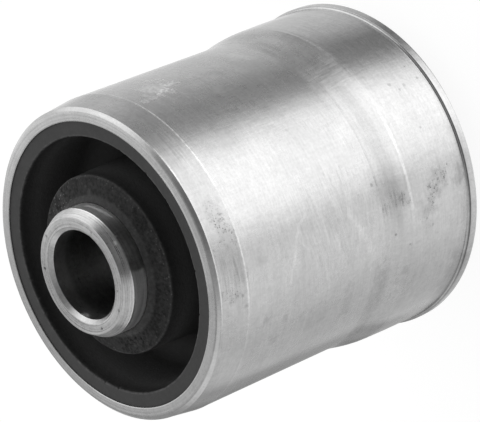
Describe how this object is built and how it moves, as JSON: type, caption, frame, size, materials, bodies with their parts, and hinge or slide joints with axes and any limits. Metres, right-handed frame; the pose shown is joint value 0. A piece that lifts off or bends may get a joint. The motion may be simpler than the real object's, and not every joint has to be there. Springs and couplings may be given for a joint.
{
  "type": "rubber metal bush",
  "caption": "Press-in bush: a stepped and lipped steel outer sleeve with a tapered lead-in, round moulded rubber that is bonded to a steel tube for a through bolt.",
  "frame": {"origin": "centre of the inner tube's lower end face, on which the bush stands", "axes": "+Z along the bush's axis, from the lipped end towards the plain end with the tapered lead-in; the part is the same all round, so +X and +Y are free"},
  "size_m": [0.0628, 0.0628, 0.0742],
  "materials": {
    "turned_sleeve_steel": "fine turned, with cloudy patches",
    "moulded_rubber": "matt, slightly mottled",
    "tube_steel": "coarser turned chamfers, plain drawn side"
  },
  "bodies": {
    "root": {"outer_sleeve": "turned_sleeve_steel", "rubber": "moulded_rubber", "inner_tube": "tube_steel"}
  },
  "joints": []
}
